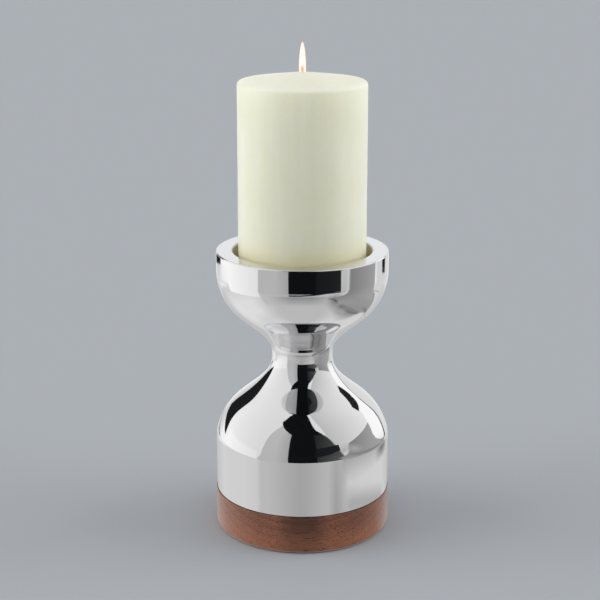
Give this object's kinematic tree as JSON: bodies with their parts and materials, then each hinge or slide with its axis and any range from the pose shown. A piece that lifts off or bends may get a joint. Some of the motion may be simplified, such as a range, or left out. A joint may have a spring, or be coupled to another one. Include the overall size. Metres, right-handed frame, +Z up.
{
  "type": "pillar candle holder",
  "caption": "Hourglass candle holder of mirror-polished metal on a turned wooden base, with a wide flat-lipped cup that holds a pillar candle.",
  "frame": {"origin": "middle of the foot, on the surface that the holder stands on", "axes": "+Z up along the axis of the holder and its candle; +X to the right and +Y away from the viewer of the picture"},
  "size_m": [0.106, 0.106, 0.283],
  "materials": {
    "polished_metal": "cast, turned and buffed to a mirror",
    "plated_steel": "bright zinc plate",
    "lacquered_wood": "turned hardwood, satin lacquer",
    "felt": "pressed wool felt",
    "wax": "moulded candle wax, soft sheen",
    "wick_cotton": "braided cotton, charred at the tip",
    "tinplate": "stamped tinplate"
  },
  "bodies": {
    "holder": {"cup": "polished_metal", "bell": "polished_metal", "tie_rod": "plated_steel", "neck_washer": "plated_steel", "neck_nut": "plated_steel", "wood_base": "lacquered_wood", "base_washer": "plated_steel", "spring_washer": "plated_steel", "base_nut": "plated_steel", "felt_pad": "felt"},
    "candle": {"candle_wax": "wax", "wick": "wick_cotton", "wick_sustainer": "tinplate"}
  },
  "joints": [
    {"name": "candle_lift", "type": "slide", "parent": "holder", "child": "candle", "axis": [0, 0, 1], "range_m": [0, 0.06]}
  ]
}
